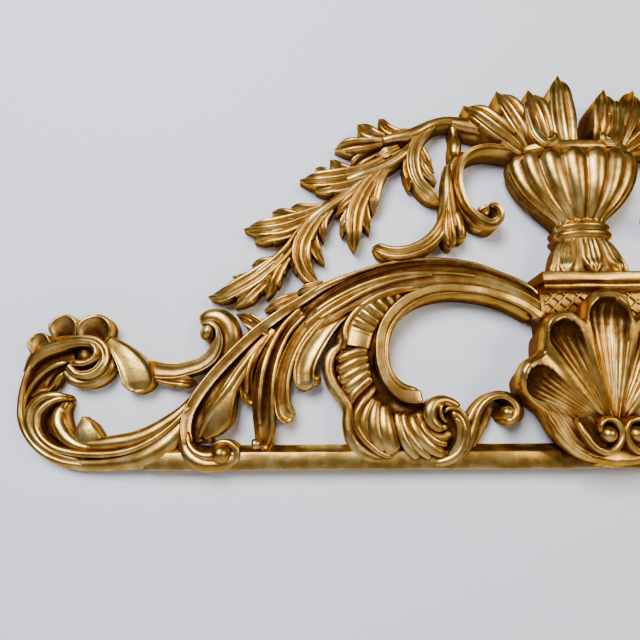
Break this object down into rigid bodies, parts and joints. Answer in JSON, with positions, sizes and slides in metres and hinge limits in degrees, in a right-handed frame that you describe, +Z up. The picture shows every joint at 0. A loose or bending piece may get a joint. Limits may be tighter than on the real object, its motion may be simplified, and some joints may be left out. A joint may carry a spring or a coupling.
{
  "type": "gilt overdoor carving",
  "caption": "Symmetric rococo wall ornament: a gadrooned urn over a scallop shell, between broken arches, with acanthus, hanging garlands and end scrolls on a straight rail.",
  "frame": {"origin": "on the flat back face, on the axis of symmetry, 60 mm above the underside of the rail, where the ornament is fixed to the wall", "axes": "+Y out of the back, into the wall; +X along the rail, the longest way; +Z up"},
  "size_m": [1.1144, 0.0572, 0.4203],
  "materials": {
    "gilding": "carved wood, water gilded over red bole, burnished and rubbed at the edges"
  },
  "bodies": {
    "root": {"carved_overdoor": "gilding"}
  },
  "joints": []
}
